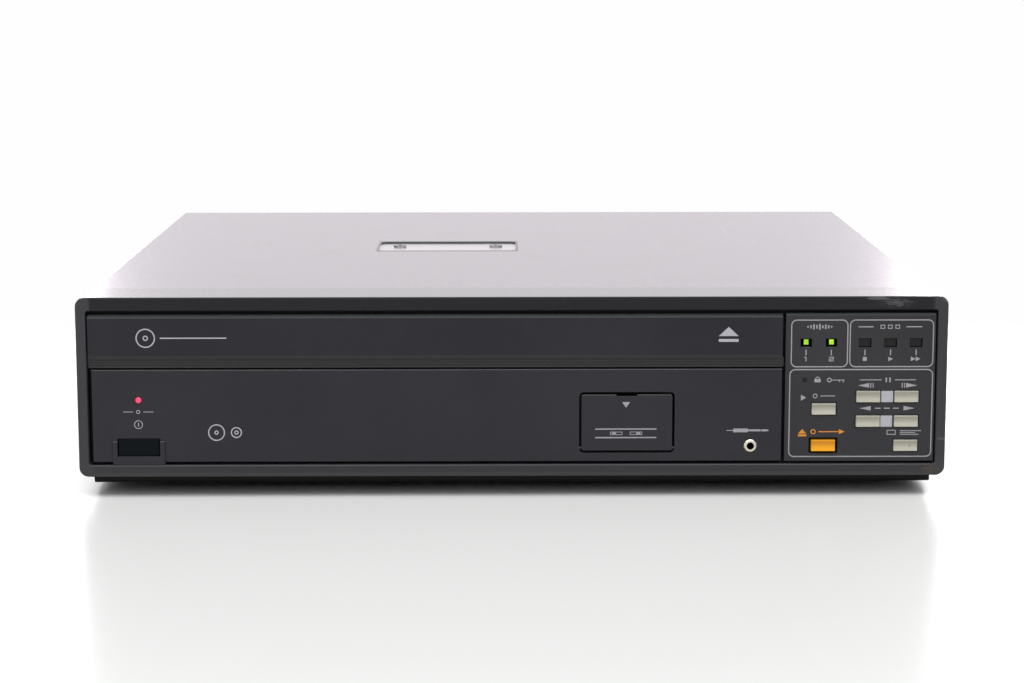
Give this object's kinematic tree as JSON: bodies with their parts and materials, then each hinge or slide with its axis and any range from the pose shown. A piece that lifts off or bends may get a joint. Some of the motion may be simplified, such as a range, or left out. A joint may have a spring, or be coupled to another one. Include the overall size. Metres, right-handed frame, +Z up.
{
  "type": "laserdisc player",
  "caption": "Front-loading laserdisc player: sliding disc tray, sprung front keys, drop-down switch door, spindle, tilting pickup frame and steel cover on feet.",
  "frame": {"origin": "centre of the overall box on the table, under the feet", "axes": "+X to the right seen from the front, front faces -Y, +Z up"},
  "size_m": [0.42, 0.394, 0.098],
  "materials": {
    "frame_moulding": "moulded, fine satin texture",
    "panel_moulding": "moulded, fine matt texture",
    "sub_chassis_moulding": "moulded, matt black",
    "cover_paint": "textured paint on steel",
    "pan_paint": "black paint on steel",
    "bright_plate": "satin",
    "key_moulding": "warm grey, satin",
    "orange_moulding": "orange, satin",
    "button_moulding": "near black, polished",
    "green_lamp": "lit lamp",
    "red_lamp": "lit lamp",
    "dark_lamp": "unlit lamp",
    "rubber": "moulded",
    "screw_steel": "plated",
    "dark_screw": "black oxide",
    "nickel": "nickel plate",
    "tray_moulding": "moulded",
    "gear_moulding": "natural white, self-lubricating",
    "plated_steel": "zinc plated sheet",
    "cast_alloy": "die cast",
    "shaft_steel": "ground",
    "motor_steel": "drawn can",
    "circuit_board": "glass-fibre board",
    "switch_moulding": "moulded",
    "core_iron": "laminated and varnished",
    "lens_glass": "coated"
  },
  "bodies": {
    "base": {"front_frame": "frame_moulding", "front_chassis": "sub_chassis_moulding", "lower_front_panel": "panel_moulding", "control_panel": "panel_moulding", "top_cover": "cover_paint", "transport_plate": "bright_plate", "transport_screws": "screw_steel", "rear_panel": "pan_paint", "bottom_pan": "pan_paint", "feet": "rubber", "foot_screws": "dark_screw", "cover_screws": "dark_screw", "power_button_guard": "panel_moulding", "power_switch": "switch_moulding", "power_lamp": "red_lamp", "audio_lamps": "green_lamp", "mode_lamps": "dark_lamp", "key_lock_lamp": "dark_lamp", "control_jack": "nickel", "function_switch_block": "switch_moulding", "control_board": "circuit_board", "key_switches": "switch_moulding", "tray_rails": "gear_moulding", "loading_motor": "motor_steel", "loading_belt": "rubber", "mechanism_deck": "plated_steel", "deck_dampers": "rubber", "spindle_motor": "motor_steel", "clamp_bracket": "plated_steel", "tilt_motor": "motor_steel", "power_transformer": "core_iron", "main_board": "circuit_board", "rear_sockets": "nickel", "mains_inlet": "switch_moulding"},
    "tray": {"tray_front": "panel_moulding", "disc_tray": "tray_moulding"},
    "drive_gear": {"drive_gear": "gear_moulding"},
    "pulley_gear": {"pulley_gear": "gear_moulding"},
    "motor_pulley": {"motor_pulley": "gear_moulding"},
    "turntable": {"turntable": "cast_alloy"},
    "clamp_arm": {"clamp_arm": "plated_steel"},
    "clamper": {"clamper": "gear_moulding"},
    "tilt_frame": {"tilt_frame": "cast_alloy", "guide_shafts": "shaft_steel", "carriage_motor": "motor_steel"},
    "lead_screw": {"lead_screw": "shaft_steel"},
    "pickup": {"pickup_carriage": "cast_alloy", "objective_lens": "lens_glass"},
    "tilt_cam": {"tilt_cam": "gear_moulding"},
    "power_button": {"power_button": "button_moulding"},
    "play_key": {"play_key": "key_moulding"},
    "reject_key": {"reject_key": "orange_moulding"},
    "step_back_key": {"step_back_key": "key_moulding"},
    "step_forward_key": {"step_forward_key": "key_moulding"},
    "scan_back_key": {"scan_back_key": "key_moulding"},
    "scan_forward_key": {"scan_forward_key": "key_moulding"},
    "display_key": {"display_key": "key_moulding"},
    "function_door": {"function_door": "panel_moulding"},
    "function_slider_left": {"function_slider_left": "gear_moulding"},
    "function_slider_right": {"function_slider_right": "gear_moulding"}
  },
  "joints": [
    {"name": "tray_slide", "type": "slide", "parent": "base", "child": "tray", "axis": [0, -1, 0], "range_m": [0, 0.315]},
    {"name": "drive_gear_spin", "type": "hinge", "parent": "base", "child": "drive_gear", "pos_m": [-0.169, -0.155, 0.061], "axis": [0, 0, 1], "continuous": true},
    {"name": "pulley_gear_spin", "type": "hinge", "parent": "base", "child": "pulley_gear", "pos_m": [-0.138, -0.155, 0.041], "axis": [0, 0, 1], "continuous": true},
    {"name": "motor_pulley_spin", "type": "hinge", "parent": "base", "child": "motor_pulley", "pos_m": [-0.093, -0.155, 0.026], "axis": [0, 0, 1], "continuous": true},
    {"name": "spindle_spin", "type": "hinge", "parent": "base", "child": "turntable", "pos_m": [-0.037, -0.01, 0.06], "axis": [0, 0, 1], "continuous": true},
    {"name": "clamp_arm_lift", "type": "hinge", "parent": "base", "child": "clamp_arm", "pos_m": [-0.037, 0.166, 0.084], "axis": [1, 0, 0], "range_deg": [0, 1.2], "stiffness_Nm_per_rad": 6, "springref_deg": -3.44},
    {"name": "clamper_spin", "type": "hinge", "parent": "clamp_arm", "child": "clamper", "pos_m": [-0.037, -0.01, 0.084], "axis": [0, 0, 1], "continuous": true},
    {"name": "tilt_hinge", "type": "hinge", "parent": "base", "child": "tilt_frame", "pos_m": [-0.037, 0.0175, 0.051], "axis": [1, 0, 0], "range_deg": [-0.8, 0.8]},
    {"name": "tilt_cam_turn", "type": "hinge", "parent": "base", "child": "tilt_cam", "pos_m": [-0.096, 0.161, 0.03565], "axis": [1, 0, 0], "range_deg": [-60, 60]},
    {"name": "carriage_slide", "type": "slide", "parent": "tilt_frame", "child": "pickup", "axis": [0, 1, 0], "range_m": [0, 0.093]},
    {"name": "lead_screw_spin", "type": "hinge", "parent": "tilt_frame", "child": "lead_screw", "pos_m": [-0.017, 0.09, 0.049], "axis": [0, 1, 0], "continuous": true},
    {"name": "power_button_press", "type": "slide", "parent": "base", "child": "power_button", "axis": [0, 1, 0], "range_m": [0, 0.003], "stiffness_N_per_m": 500, "springref_m": -0.001},
    {"name": "function_door_drop", "type": "hinge", "parent": "base", "child": "function_door", "pos_m": [0.05555, -0.1933, 0.0234], "axis": [1, 0, 0], "range_deg": [0, 90]},
    {"name": "play_key_press", "type": "slide", "parent": "base", "child": "play_key", "axis": [0, 1, 0], "range_m": [0, 0.0012], "stiffness_N_per_m": 400, "springref_m": -0.0008},
    {"name": "reject_key_press", "type": "slide", "parent": "base", "child": "reject_key", "axis": [0, 1, 0], "range_m": [0, 0.0012], "stiffness_N_per_m": 400, "springref_m": -0.0008},
    {"name": "step_back_key_press", "type": "slide", "parent": "base", "child": "step_back_key", "axis": [0, 1, 0], "range_m": [0, 0.0012], "stiffness_N_per_m": 400, "springref_m": -0.0008},
    {"name": "step_forward_key_press", "type": "slide", "parent": "base", "child": "step_forward_key", "axis": [0, 1, 0], "range_m": [0, 0.0012], "stiffness_N_per_m": 400, "springref_m": -0.0008},
    {"name": "scan_back_key_press", "type": "slide", "parent": "base", "child": "scan_back_key", "axis": [0, 1, 0], "range_m": [0, 0.0012], "stiffness_N_per_m": 400, "springref_m": -0.0008},
    {"name": "scan_forward_key_press", "type": "slide", "parent": "base", "child": "scan_forward_key", "axis": [0, 1, 0], "range_m": [0, 0.0012], "stiffness_N_per_m": 400, "springref_m": -0.0008},
    {"name": "display_key_press", "type": "slide", "parent": "base", "child": "display_key", "axis": [0, 1, 0], "range_m": [0, 0.0012], "stiffness_N_per_m": 400, "springref_m": -0.0008},
    {"name": "function_slider_left_slide", "type": "slide", "parent": "base", "child": "function_slider_left", "axis": [1, 0, 0], "range_m": [-0.002, 0.002]},
    {"name": "function_slider_right_slide", "type": "slide", "parent": "base", "child": "function_slider_right", "axis": [1, 0, 0], "range_m": [-0.002, 0.002]}
  ],
  "couplings": [
    {"joint": "drive_gear_spin", "follows": "tray_slide", "rad_per_m": 66.667},
    {"joint": "pulley_gear_spin", "follows": "tray_slide", "rad_per_m": -277.78},
    {"joint": "motor_pulley_spin", "follows": "tray_slide", "rad_per_m": -1250},
    {"joint": "tilt_cam_turn", "follows": "tilt_hinge", "ratio": 75},
    {"joint": "lead_screw_spin", "follows": "carriage_slide", "rad_per_m": 3141.6}
  ]
}
